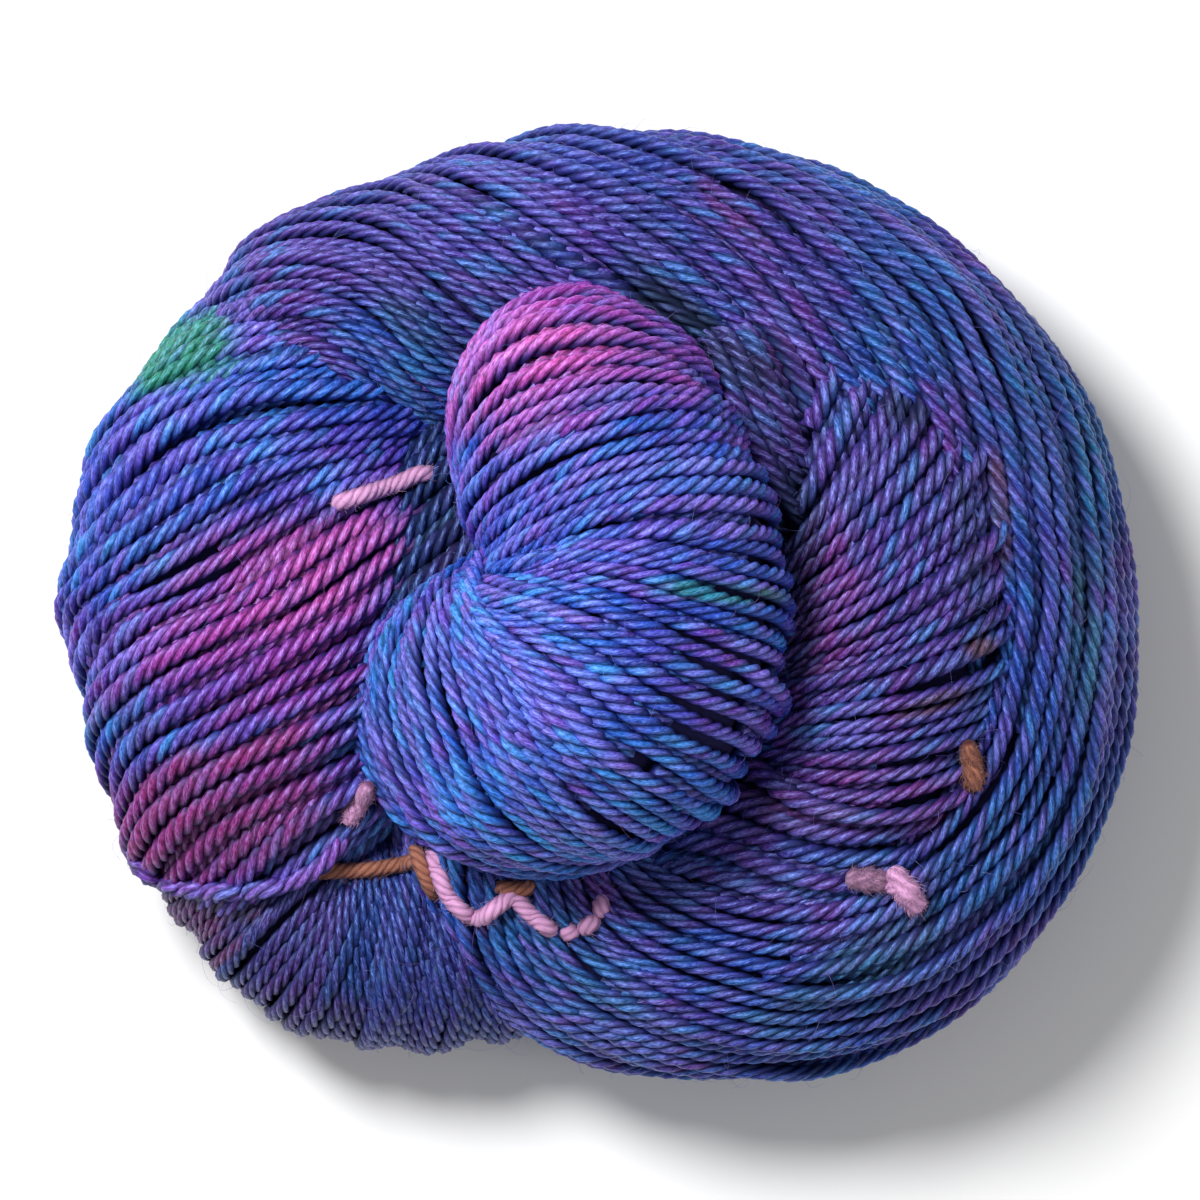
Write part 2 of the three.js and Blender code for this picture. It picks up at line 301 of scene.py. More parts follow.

# Patches of dye, and near-black patches of painted shadow in the hollows and gaps between folds: middle x and
# y, half length and half width in pixels, tilt in degrees, colour, strength
PATCHES = {
    "left": [
        (250, 420, 240, 120, -20, BLUE, 0.75), (330, 370, 150, 40, -8, SKY, 0.35),
        (110, 500, 60, 110, 20, VIOLET, 0.45), (350, 440, 120, 30, -20, VIOLET, 0.5),
        (180, 345, 75, 38, -25, GREEN, 0.95), (330, 515, 90, 22, -22, SKY, 0.4),
        (270, 600, 200, 78, -24, MAGENTA, 0.85), (330, 580, 90, 50, -24, PINK, 0.5),
        (260, 700, 190, 60, -24, VIOLET, 0.45), (300, 690, 130, 40, -24, MAGENTA, 0.6),
        (180, 790, 130, 75, -24, CRIMSON, 0.9), (150, 740, 90, 30, -20, BLUE, 0.3),
        (260, 850, 120, 60, -24, PURPLE, 0.7), (200, 850, 110, 40, -20, CRIMSON, 0.7),
        (90, 700, 60, 80, 0, DEEP, 0.4),
        (425, 560, 34, 120, 20, PAINTED_SHADOW, 0.7),
    ],
    "lower": [
        (330, 960, 220, 120, 10, NAVY, 0.7), (170, 920, 70, 30, 35, CRIMSON, 0.9),
        (222, 908, 40, 18, 20, RUST, 0.7), (330, 1030, 200, 26, 14, CRIMSON, 0.3),
        (290, 950, 40, 80, 20, PURPLE, 0.6),
        (390, 960, 40, 90, 0, BLUE, 0.6), (440, 980, 60, 90, 0, VIOLET, 0.5),
    ],
    "ring": [
        (460, 190, 260, 60, -12, VIOLET, 0.7), (330, 240, 150, 50, -20, PURPLE, 0.75),
        (450, 285, 130, 22, 4, PURPLE, 0.7), (640, 225, 130, 26, 30, PURPLE, 0.7),
        (540, 260, 200, 40, 14, VIOLET, 0.6), (700, 200, 150, 70, 30, VIOLET, 0.5),
        (600, 150, 120, 26, 0, BLUE, 0.5), (730, 205, 50, 12, 45, CRIMSON, 0.5),
        (850, 240, 120, 60, 45, VIOLET, 0.4), (560, 330, 180, 40, 14, DEEP, 0.5),
        (960, 330, 170, 45, 55, SKY, 0.45), (1020, 560, 60, 200, 0, BLUE, 0.7),
        (1060, 400, 40, 120, -15, TEAL, 0.6), (1095, 590, 26, 140, 0, TEAL, 0.8),
        (1090, 640, 16, 90, 0, GREEN, 0.5), (1003, 520, 12, 55, -4, RUST, 0.75),
        (1045, 700, 50, 120, 10, BLUE, 0.5), (1060, 480, 20, 90, -10, VIOLET, 0.6),
        (1085, 790, 40, 90, 20, VIOLET, 0.4),
        (800, 1010, 280, 50, -12, VIOLET, 0.5), (700, 960, 220, 40, 6, BLUE, 0.7),
        (560, 960, 90, 40, 30, TEAL, 0.6), (950, 900, 140, 50, -45, TEAL, 0.5),
        (880, 960, 120, 24, -30, GREEN, 0.35), (600, 1030, 120, 30, 10, SKY, 0.4),
        (700, 905, 130, 24, 4, PURPLE, 0.6), (1010, 880, 60, 110, 35, BLUE, 0.5),
        (700, 332, 90, 24, 42, PAINTED_SHADOW, 1), (912, 420, 24, 22, 40, PAINTED_SHADOW, 0.7),
        (430, 330, 50, 14, 30, PAINTED_SHADOW, 0.6),
    ],
    "loop": [
        (600, 320, 150, 60, 10, MAGENTA, 0.7), (500, 370, 70, 60, -50, PINK, 0.6),
        (620, 355, 100, 26, 12, PINK, 0.4), (560, 410, 60, 40, -20, MAGENTA, 0.4),
        (680, 370, 60, 60, 40, VIOLET, 0.6), (600, 500, 180, 60, 4, LAVENDER, 0.45),
        (620, 560, 170, 50, 8, BLUE, 0.5), (720, 592, 70, 10, 4, GREEN, 0.7),
        (650, 470, 110, 24, 6, SKY, 0.35),
        (540, 660, 130, 60, 30, SKY, 0.4), (470, 740, 100, 110, 20, BLUE, 0.6),
        (640, 720, 130, 60, 30, BLUE, 0.5), (400, 700, 40, 80, 10, TEAL, 0.45),
        (600, 800, 170, 50, 4, SKY, 0.4), (520, 690, 60, 40, 50, LAVENDER, 0.5),
        (395, 760, 24, 40, 10, PURPLE, 0.4), (560, 860, 120, 30, 6, TEAL, 0.4),
        (700, 700, 90, 50, 30, VIOLET, 0.4),
    ],
    "side": [
        (890, 560, 120, 180, 0, PURPLE, 0.95), (850, 450, 40, 80, 10, LAVENDER, 0.4),
        (930, 560, 60, 60, 0, VIOLET, 0.6), (830, 600, 40, 70, 0, MAGENTA, 0.55),
        (870, 800, 130, 40, -5, MAGENTA, 0.5), (985, 648, 18, 12, 0, RUST, 1),
        (800, 560, 24, 90, 0, PAINTED_SHADOW, 0.7),
        (908, 405, 30, 20, 20, PAINTED_SHADOW, 0.8), (975, 560, 14, 70, -8, PAINTED_SHADOW, 0.5),
        (930, 706, 42, 9, -20, RUST, 0.8), (800, 860, 120, 30, 4, VIOLET, 0.5),
    ],
    "inner": [(780, 450, 60, 120, 20, PURPLE, 0.9), (800, 520, 26, 60, 0, PAINTED_SHADOW, 0.8),
              (735, 360, 50, 22, 30, PAINTED_SHADOW, 0.7)],
    "middle": [(440, 560, 200, 200, 0, PAINTED_SHADOW, 0.7)],
}
SAGGING_PATCHES = [(200, 880, 300, 90, 0, MAGENTA, 0.55), (250, 880, 90, 60, 0, LAVENDER, 0.7)]

# Colours that follow each other along a strand: place on the scale, colour
SCALE = [
    (0.0, 0.85 * SKY), (0.2, BLUE), (0.42, 0.5 * (BLUE + DEEP)), (0.62, VIOLET), (0.82, PURPLE),
    (1.0, LAVENDER),
]

# Colours that come and go along single plies: colour, wavelengths in mm, threshold, strength
ACCENTS = [
    (VIOLET, (61.0, 17.7), 0.5, 0.7), (DEEP, (53.0, 11.3), 0.3, 0.8), (PURPLE, (43.0, 12.1), 0.6, 0.7),
    (SKY, (47.0, 13.1), 0.45, 0.9), (MAGENTA, (37.0, 9.9), 1.0, 0.6), (TEAL, (59.0, 14.3), 0.9, 0.7),
    (LAVENDER, (29.0, 7.7), 0.45, 0.85),
]
# Waves of dye along a strand: length over 2 pi in mm, and how far strands with unlike keys are apart
TONE = (7.7, 25)
DRIFT = ((7.3, 40), (12.1, 91), (3.9, 17))
TONE_SWING, TONE_DRIFT = 0.42, 0.3      # how far the two move the tone from the middle of the scale
RAGGED = 0.35           # how much the drift, and the strand's key, shift the edge of a patch
BY_STRAND = 0.25
PATCH_END, PATCH_FADE = 1.25, 0.6
CLEARED = 0.8           # share of the accents that a strong patch covers
ACCENT_KEYS = (5.3, 11.7)   # how far plies with unlike keys shift the waves of the first accent
SHORT_WAVE = 0.6        # height of an accent's short wave beside its long one
BOTH_WAVES = 1.3        # their height together is divided by this
ACCENT_FADE = 0.7
ACCENT_COVER = 0.55     # how much an accent covers the dye below it, and doesn't tint it


def dye_and_shade(p, key, along, ply_key, patches, level):
    """Colour of points, from where they lie, their strand and their ply: dye, painted shadow from the dark
    patches, and painted shade in the level.
    """
    x = PX_X0 + p[:, 0] * PX_PER_MM
    y = PX_Y0 - p[:, 1] * PX_PER_MM
    drift = sum(np.sin(along / length + key * shift) for length, shift in DRIFT) / len(DRIFT)
    tone = 0.5 + TONE_SWING * np.sin(along / TONE[0] + key * TONE[1]) + TONE_DRIFT * drift
    places, tints = zip(*SCALE)
    col = np.stack([np.interp(tone, places, channel) for channel in np.array(tints).T], 1)
    free = np.ones(len(p))
    for px, py, rx, ry, tilt, tint, strength in patches:
        t = math.radians(tilt)
        u = ((x - px) * math.cos(t) + (y - py) * math.sin(t)) / rx
        v = (-(x - px) * math.sin(t) + (y - py) * math.cos(t)) / ry
        d = np.sqrt(u * u + v * v) + RAGGED * drift + BY_STRAND * (key - 0.5)
        strong = any(tint is one for one in STRONG)
        w = (1 if strong else FAINT) * strength * np.clip((PATCH_END - d) / PATCH_FADE, 0, 1)
        col = col * (1 - w)[:, None] + tint * w[:, None]
        if strong:
            free = free * (1 - CLEARED * w)
    for i, (tint, (long, short), least, strength) in enumerate(ACCENTS):
        wave = (np.sin(2 * np.pi * (along / long + ply_key * (ACCENT_KEYS[0] + i)))
                + SHORT_WAVE * np.sin(2 * np.pi * (along / short + ply_key * (ACCENT_KEYS[1] + 2 * i))))
        wave = wave / BOTH_WAVES
        w = (strength * free * np.clip((wave - least) / ACCENT_FADE, 0, 1))[:, None]
        mixed = ACCENT_COVER * tint + (1 - ACCENT_COVER) * np.sqrt(tint * col)
        col = col * (1 - w) + mixed * w
    return level * col


# Twisted strands as meshes
GROOVE = 0.58           # radius of a strand in the grooves between its plies, as a share of the whole
SIDE_DARK = 0.0         # cosine from the outward side of a strand at which it is fully in shade
SIDE_CLEAR = 0.88       # and at which it is out of the shade of its neighbours
# points across one ply: share of the radius, and height from groove to top
FINE = ((GROOVE, 0.0), (0.87, 0.75), (1.0, 1.0), (0.87, 0.75))
COARSE = ((GROOVE, 0.0), (1.0, 1.0))
COTTON_FINE = ((0.86, 0.0), (1.0, 1.0), (1.0, 1.0))
LOBE_FINE = ((0.93, 0.0), (1.0, 1.0))
YARN_SHADE = (0.14, 0.14, 0.6)      # what is left of the dye's colour in the shade
COTTON_SHADE = (0.4, 0.3, 0.42)


def tube_faces(rows, m):
    """Quads round a tube and triangles at its two end points, which come last."""
    j = np.arange(m)
    k = (j + 1) % m
    base = (np.arange(rows - 1) * m)[:, None]
    last = (rows - 1) * m
    quads = np.stack([base + j, base + k, base + m + k, base + m + j], -1).reshape(-1, 4)
    tris = np.vstack([np.stack([np.full(m, rows * m), k, j], 1),
                      np.stack([np.full(m, rows * m + 1), last + j, last + k], 1)])
    return quads, tris


def twisted_tube(line, radius, pitch, ply_shape=FINE, plies=PLIES, start=0.0):
    """Vertices, faces and attributes of a closed twisted strand along a line."""
    p, n, d = line["p"], line["n"], line["d"]
    t = unit(np.gradient(p, axis=0))
    b = unit(np.cross(t, n))
    n = np.cross(b, t)
    profile, tops = np.tile(np.array(ply_shape).T, plies)
    m = len(profile)
    a = 2 * np.pi * np.arange(m)[None] / m - 2 * np.pi * (d / pitch)[:, None] + start
    r = profile[None] * (radius[:, None] if np.ndim(radius) else radius)
    v = p[:, None] + (r * np.cos(a))[..., None] * n[:, None] + (r * np.sin(a))[..., None] * b[:, None]
    rows = len(p)
    verts = np.vstack([v.reshape(-1, 3), p[:1], p[-1:]])
    # lit: how far each point is out of the painted shade on the strand's sides
    lit = np.r_[np.clip((np.cos(a) - SIDE_DARK) / (SIDE_CLEAR - SIDE_DARK), 0, 1).ravel(), 0, 0]
    quads, tris = tube_faces(rows, m)
    along = np.r_[np.repeat(d, m), d[0], d[-1]]
    hill = np.r_[np.tile(tops, rows), 0, 0]
    ply = np.r_[np.tile(np.arange(m) // len(ply_shape), rows), 0, 0]
    return dict(verts=verts, quads=quads, tris=tris, along=along, hill=hill, ply=ply, lit=lit, sides=m)


DARK_COLOUR = 0.12         # colour darker than this, dark dye or painted shadow, gets less painted highlight on its ply tops, at least the share in the next line
LEAST_HIGHLIGHT = 0.12


def into_scene(name, data):
    """A new object in the scene with its data."""
    obj = bpy.data.objects.new(name, data)
    bpy.context.scene.collection.objects.link(obj)
    return obj


class Builder:
    """Collects strands into one mesh with its attributes."""

    def __init__(self, name):
        self.name = name
        self.v, self.q, self.t, self.col, self.hill, self.lit, self.uv = [], [], [], [], [], [], []
        self.count = 0

    def add(self, tube, colours):
        """One more tube, with a colour for each of its points."""
        m = tube["sides"]
        self.v.append(tube["verts"])
        self.q.append(tube["quads"] + self.count)
        self.t.append(tube["tris"] + self.count)
        self.col.append(colours)
        self.hill.append(tube["hill"] * np.clip(colours.sum(1) / DARK_COLOUR, LEAST_HIGHLIGHT, 1))
        self.lit.append(tube["lit"])
        # quads come as (a, b, c, d) with b and c one step further round
        row, jj = np.divmod(np.arange(len(tube["quads"])), m)
        d = tube["along"][:-2:m]
        u0, u1 = jj / m, (jj + 1) / m
        v0, v1 = d[row], d[row + 1]
        uvq = np.stack([u0, v0, u1, v0, u1, v1, u0, v1], -1).reshape(-1, 4, 2)
        uvt = np.zeros((2 * m, 3, 2))
        uvt[:, :, 0] = np.tile(np.arange(m) / m, 2)[:, None]
        uvt[:m, :, 1] = d[0]
        uvt[m:, :, 1] = d[-1]
        self.uv.append((uvq, uvt))
        self.count += len(tube["verts"])

    def triangles(self):
        """How many triangles the mesh has so far."""
        return 2 * sum(len(q) for q in self.q) + sum(len(t) for t in self.t)

    def make(self, material, slot, shade=YARN_SHADE):
        """The mesh as a piece of the part, with painted shade on its strands' sides mixed into the dye
        colour.
        """
        verts = np.vstack(self.v) * MM
        quads, tris = np.vstack(self.q), np.vstack(self.t)
        mesh = bpy.data.meshes.new(self.name)
        mesh.vertices.add(len(verts))
        mesh.vertices.foreach_set("co", verts.astype(np.float32).ravel())
        loops = np.r_[quads.ravel(), tris.ravel()]
        mesh.loops.add(len(loops))
        mesh.loops.foreach_set("vertex_index", loops.astype(np.int32))
        starts = np.r_[np.arange(len(quads)) * 4, len(quads) * 4 + np.arange(len(tris)) * 3]
        mesh.polygons.add(len(starts))
        mesh.polygons.foreach_set("loop_start", starts.astype(np.int32))
        mesh.update(calc_edges=True)
        mesh.polygons.foreach_set("use_smooth", np.ones(len(starts), bool))
        uv = mesh.uv_layers.new(name="UVMap")
        flat = np.vstack([u[0].reshape(-1, 2) for u in self.uv] + [u[1].reshape(-1, 2) for u in self.uv])
        uv.data.foreach_set("uv", flat.astype(np.float32).ravel())
        colour = mesh.attributes.new("dye_and_shade", "FLOAT_COLOR", "POINT")
        rgba = np.ones((len(verts), 4), np.float32)
        lit = np.concatenate(self.lit)
        # painted shade: each strand's sides, facing away from the fold's outside, are darkened in its colour
        # and in its plies' heights
        rgba[:, :3] = np.vstack(self.col) * (lit[:, None] + (1 - lit[:, None]) * shade)
        colour.data.foreach_set("color", rgba.ravel())
        hill = mesh.attributes.new("hill", "FLOAT", "POINT")
        hill.data.foreach_set("value", (np.concatenate(self.hill) * lit).astype(np.float32))
        ends = np.empty(2 * len(mesh.edges), np.int32)
        mesh.edges.foreach_get("vertices", ends)
        low = np.concatenate(self.hill)[ends.reshape(-1, 2)] == 0
        sharp = mesh.attributes.new("sharp_edge", "BOOLEAN", "EDGE")
        sharp.data.foreach_set("value", low.all(1))
        obj = into_scene(self.name, mesh)
        mesh.materials.append(material)
        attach(obj, "root")
        return obj


# Materials
FIBRES_ROUND = 34.0     # fibre streaks round a strand
FIBRES_ALONG = 1.5      # and to a millimetre along it
FIBRE_LEAN = -0.15      # turns that the fibres lean from the strand's own line in one pitch
STREAKS = (0.3, 0.7)    # range of the fibre noise that makes streaks
HIGHLIGHT_FIBRES = (0.45, 0.75)     # and that shows as the painted highlight of pale fibres on the ply tops
FULL_COLOUR = 0.85      # height from the groove at which a ply's painted groove shade ends and it has its full colour
DULL_GROOVE = 0.35      # how much rougher the grooves are
UNEVEN_GLOSS = 0.1      # how far the fibres differ in roughness
SHEEN_ROUGH, SHEEN_TINT = 0.45, (0.7, 0.7, 1.0, 1.0)
SHADOW_TINTS = ((0.006, 0.005, 0.05, 1), (0.02, 0.015, 0.14, 1))


def node_tree(name):
    """An empty material with its shader."""
    mat = bpy.data.materials.new(name)
    mat.use_nodes = True
    nt = mat.node_tree
    nt.nodes.clear()
    out = nt.nodes.new("ShaderNodeOutputMaterial")
    shader = nt.nodes.new("ShaderNodeBsdfPrincipled")
    nt.links.new(shader.outputs[0], out.inputs[0])
    return mat, nt, shader


def feed(nt, node, key, value):
    """A value, or another node's output, for one input of a node."""
    if isinstance(value, bpy.types.NodeSocket):
        nt.links.new(value, node.inputs[key])
    else:
        node.inputs[key].default_value = value


def add_node(nt, kind, settings=(), **inputs):
    """A new node with its settings and inputs."""
    node = nt.nodes.new(kind)
    for key, value in dict(settings).items():
        setattr(node, key, value)
    for key, value in inputs.items():
        feed(nt, node, key, value)
    return node


def math_node(nt, op, *values):
    """Output of one operation on numbers and outputs."""
    node = add_node(nt, "ShaderNodeMath", {"operation": op})
    for i, value in enumerate(values):
        feed(nt, node, i, value)
    return node.outputs[0]


def map_range(nt, value, given, wanted):
    """A value from one range, mapped to another."""
    ends = zip(("From Min", "From Max", "To Min", "To Max"), (*given, *wanted))
    return add_node(nt, "ShaderNodeMapRange", Value=value, **dict(ends)).outputs[0]


def bump(nt, height, strength, distance):
    """Small relief of a surface."""
    return add_node(nt, "ShaderNodeBump", Height=height, Strength=strength, Distance=distance).outputs[0]


def yarn_material(name, rough, sheen, groove_dark, streak, fibre_bump, specular, gloss_tint, painted_highlight, highlight_tint,
                  ply_pitch):
    """Twisted strands: dye and painted shade from the points, painted shade in the grooves, a painted
    highlight on the ply tops, and streaks, gloss and bump along the fibres.
    """
    mat, nt, shader = node_tree(name)
    shaded_dye = add_node(nt, "ShaderNodeAttribute", {"attribute_name": "dye_and_shade"}).outputs["Color"]
    hill = add_node(nt, "ShaderNodeAttribute", {"attribute_name": "hill"}).outputs["Fac"]
    uv = add_node(nt, "ShaderNodeUVMap", {"uv_map": "UVMap"}).outputs[0]
    sep = add_node(nt, "ShaderNodeSeparateXYZ", Vector=uv)
    # fibres lie nearly along the plies, a little turned
    turn = math_node(nt, "MULTIPLY", sep.outputs[1], FIBRE_LEAN / ply_pitch)
    around = math_node(nt, "ADD", sep.outputs[0], turn)
    comb = add_node(nt, "ShaderNodeCombineXYZ", X=math_node(nt, "MULTIPLY", around, FIBRES_ROUND),
                    Y=math_node(nt, "MULTIPLY", sep.outputs[1], FIBRES_ALONG))
    fibres = add_node(nt, "ShaderNodeTexNoise", Scale=1.0, Detail=3.0, Roughness=0.6,
                      Vector=comb.outputs[0]).outputs[0]
    # colour: dye, with painted shade in the grooves, streaked by the fibres
    tone = map_range(nt, fibres, STREAKS, (1 - streak, 1 + streak))
    depth = map_range(nt, hill, (0.0, FULL_COLOUR), (groove_dark, 1.0))
    both = math_node(nt, "MULTIPLY", tone, depth)
    scaled = add_node(nt, "ShaderNodeVectorMath", {"operation": "SCALE"}, Scale=both)
    feed(nt, scaled, 0, shaded_dye)
    # painted highlight: the tops of the plies are painted pale along their fibres
    top = math_node(nt, "POWER", hill, 3.0)
    share = math_node(nt, "MULTIPLY", map_range(nt, fibres, HIGHLIGHT_FIBRES, (0.0, painted_highlight)), top)
    mix = add_node(nt, "ShaderNodeMix", {"data_type": "RGBA"}, Factor=share)
    feed(nt, mix, 6, scaled.outputs[0])
    feed(nt, mix, 7, (*highlight_tint, 1))
    # roughness follows the fibres, and the grooves are dull
    gloss = map_range(nt, fibres, STREAKS, (rough + UNEVEN_GLOSS, rough - UNEVEN_GLOSS))
    dull = math_node(nt, "MULTIPLY_ADD", hill, -DULL_GROOVE, DULL_GROOVE)
    looks = {"Base Color": mix.outputs[2], "Roughness": math_node(nt, "ADD", gloss, dull),
             "Normal": bump(nt, fibres, fibre_bump, 0.0001), "Sheen Weight": sheen,
             "Sheen Roughness": SHEEN_ROUGH, "Sheen Tint": SHEEN_TINT, "Specular IOR Level": specular,
             "Specular Tint": (*gloss_tint, 1)}
    for key, value in looks.items():
        feed(nt, shader, key, value)
    return mat


def core_material():
    """Painted shadow: the dark, uneven inside of the yarn."""
    mat, nt, shader = node_tree("yarn_shadow")
    place = nt.nodes.new("ShaderNodeTexCoord").outputs["Object"]
    noise = add_node(nt, "ShaderNodeTexNoise", Scale=500.0, Detail=3.0, Vector=place).outputs[0]
    ramp = nt.nodes.new("ShaderNodeValToRGB")
    feed(nt, ramp, 0, noise)
    for element, tint in zip(ramp.color_ramp.elements, SHADOW_TINTS):
        element.color = tint
    feed(nt, shader, "Base Color", ramp.outputs[0])
    feed(nt, shader, "Normal", bump(nt, noise, 0.8, 0.0008))
    feed(nt, shader, "Roughness", 0.9)
    return mat


yarn = yarn_material("hand_dyed_yarn", rough=0.33, sheen=0.0, groove_dark=0.3, streak=0.75, fibre_bump=1.0,
                     specular=1.0, gloss_tint=(0.3, 0.48, 1.0), painted_highlight=0.6, highlight_tint=(0.27, 0.42, 0.95),
                     ply_pitch=PLY_PITCH)
pink_cotton = yarn_material("pink_cotton", rough=0.8, sheen=0.3, groove_dark=0.6, streak=0.16, fibre_bump=0.9,
                            specular=0.25, gloss_tint=(1, 1, 1), painted_highlight=0.2, highlight_tint=(0.75, 0.5, 0.72),
                            ply_pitch=COTTON_PITCH)
brown_cotton = yarn_material("brown_cotton", rough=0.85, sheen=0.2, groove_dark=0.5, streak=0.25,
                             fibre_bump=0.9, specular=0.2, gloss_tint=(1, 1, 1), painted_highlight=0.2,
                             highlight_tint=(0.5, 0.27, 0.18), ply_pitch=COTTON_PITCH)
core_mat = core_material()

# The yarn itself
UNDER = 1.1             # how far the second layer lies below the first
UNDER_SHADE = 0.75      # painted shade: how light its colour is beside that of the first
WIDEST_PITCH = 2.15     # a wider gap shows the second layer
OVER_TABLE = 0.02       # least room between a strand and the table
MOST_TRIANGLES = 170000
SINKS = (2.4, 0.4)      # how deep the strands of each layer run on inside another fold
LET_IN = {("side", "inner"): -1.0}      # the same for two folds whose strands don't cross
TIGHT, FREE = 0.8, 1.4  # a gap between strands makes them thin or thick from the first to the second
GIVE = 0.6              # of these shares of their width, by this power
UNEVEN = 0.025          # share by which one strand is thicker than another
PLY_DYES = (1.2, 0.04)  # how far the accents of two strands, and of two plies, lie apart
ROOT_EVERY = 4          # one root of a loose fibre in so many sections


def local_pitch(fold, line, count):
    """Distance from a strand to the next one at each of its points."""
    f = np.interp(line["s"], fold.length, np.arange(len(fold.length)))
    mid, side, up = at(fold.mid, f), at(fold.side, f), at(fold.up, f)
    wide, high = at(fold.wide, f), at(fold.high, f)
    ang = line["ang"] + 2 * np.pi / count
    q = mid + side * (wide * np.cos(ang))[:, None] + up * (high * np.sin(ang))[:, None]
    gap = q - line["p"]
    t = unit(np.gradient(line["p"], axis=0))
    gap = gap - t * np.einsum("nc,nc->n", gap, t)[:, None]
    gap = gap - line["n"] * np.einsum("nc,nc->n", gap, line["n"])[:, None]
    return np.linalg.norm(gap, axis=1)


def build_fold(fold, layer):
    """Meshes of one layer of a fold, without the stretches inside other folds."""
    count = fold.strands
    sink = UNDER * layer
    lines = strand_lines(fold, sink, count, 0.5 * layer, COARSE_STEP if layer else STEP)
    sizes = [len(l["p"]) for l in lines]
    points = np.vstack([l["p"] for l in lines])
    hidden = np.zeros(len(points), bool)
    for other in folds.values():
        if other is not fold:
            hidden |= other.depth(points) > LET_IN.get((fold.name, other.name), SINKS[layer])
    hidden = np.split(hidden, np.cumsum(sizes)[:-1])
    part, parts = Builder(f"yarn_{fold.name}_{layer}"), []
    for line, hid in zip(lines, hidden):
        pitch = local_pitch(fold, line, count)
        keep = ~hid
        if layer:
            keep &= pitch > WIDEST_PITCH
        radius = 0.5 * YARN * np.clip(pitch / YARN, TIGHT, FREE) ** GIVE
        radius = radius * (1 + UNEVEN * math.sin(line["spin"]))
        line["p"][:, 2] = np.maximum(line["p"][:, 2], radius + OVER_TABLE)
        for a, b in runs(keep):
            piece = {k: (v[a:b] if isinstance(v, np.ndarray) else v) for k, v in line.items()}
            tube = twisted_tube(piece, radius[a:b], PLY_PITCH, COARSE if layer else FINE,
                                start=line["spin"])
            surface.add(piece["p"], radius[a:b])
            if layer == 0:
                lean = unit(np.gradient(piece["p"], axis=0))
                outside = piece["p"] + piece["n"] * radius[a:b, None]
                roots.append(np.hstack([outside, piece["n"], lean])[::ROOT_EVERY])
            ply_key = line["key"] * PLY_DYES[0] + tube["ply"] * PLY_DYES[1]
            col = dye_and_shade(tube["verts"], line["key"], tube["along"], ply_key, PATCHES[fold.name],
                      DYE_AND_SHADE_LEVEL[fold.name])
            # the second layer is darkened with painted shade
            part.add(tube, col * UNDER_SHADE if layer else col)
            if part.triangles() > MOST_TRIANGLES:
                parts.append(part)
                part = Builder(f"yarn_{fold.name}_{layer}_{len(parts)}")
    if part.count:
        parts.append(part)
    return parts


class Surface:
    """Highest yarn over each small square of the table."""
    CELL = 0.5          # side of a square
    HALF = 80.0         # half the side of the table

    def __init__(self):
        n = int(2 * self.HALF / self.CELL)
        self.z = np.zeros((n, n))

    def cell(self, x, y):
        """Row and column of the squares that hold these points."""
        return (np.clip(((np.asarray(v) + self.HALF) / self.CELL).astype(int), 1, len(self.z) - 2)
                for v in (x, y))

    def add(self, points, radius):
        """A strand with its middle line and radius."""
        i, j = self.cell(points[:, 0], points[:, 1])
        np.maximum.at(self.z, (i, j), points[:, 2] + radius)

    def over(self, x, y, reach=1):
        """Highest yarn within so many squares of each point."""
        i, j = self.cell(x, y)
        return np.max([self.z[i + a, j + b] for a in range(-reach, reach + 1)
                       for b in range(-reach, reach + 1)], axis=0)


surface = Surface()
roots = []              # places on the yarn where a loose fibre may start: point, outward, strand direction
for fold in folds.values():
    for layer in (0, 1):
        for part in build_fold(fold, layer):
            part.make(yarn, "yarn")


CORE_SIDES = 36
CORE_DEPTH = 2.3        # how far the dark inside lies below the middle of the outer strands
CORE_LOWEST = 2.2


def core_piece():
    """Painted shadow: a dark inside of the skein, just below the strands."""
    verts, quads, tris, count = [], [], [], 0
    a = 2 * np.pi * np.arange(CORE_SIDES) / CORE_SIDES
    for fold in folds.values():
        w, h = (np.maximum(size - CORE_DEPTH, 1) for size in (fold.wide, fold.high))
        v = (fold.mid[:, None] + (w[:, None] * np.cos(a))[..., None] * fold.side[:, None]
             + (h[:, None] * np.sin(a))[..., None] * fold.up[:, None])
        v[..., 2] = np.maximum(v[..., 2], CORE_LOWEST)
        round_it, ends = tube_faces(len(v), CORE_SIDES)
        quads.append(round_it[:, [0, 3, 2, 1]] + count)
        tris.append(ends[:, [0, 2, 1]] + count)
        verts.append(np.vstack([v.reshape(-1, 3), fold.mid[:1], fold.mid[-1:]]))
        count += len(verts[-1])
    mesh = bpy.data.meshes.new("yarn_inside")
    mesh.from_pydata((np.vstack(verts) * MM).tolist(), [],
                     np.vstack(quads).tolist() + np.vstack(tris).tolist())
    mesh.update()
    mesh.polygons.foreach_set("use_smooth", np.ones(len(mesh.polygons), bool))
    obj = into_scene("yarn_inside", mesh)
    mesh.materials.append(core_mat)
    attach(obj, "root")
    return obj


core = core_piece()
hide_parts("skein")

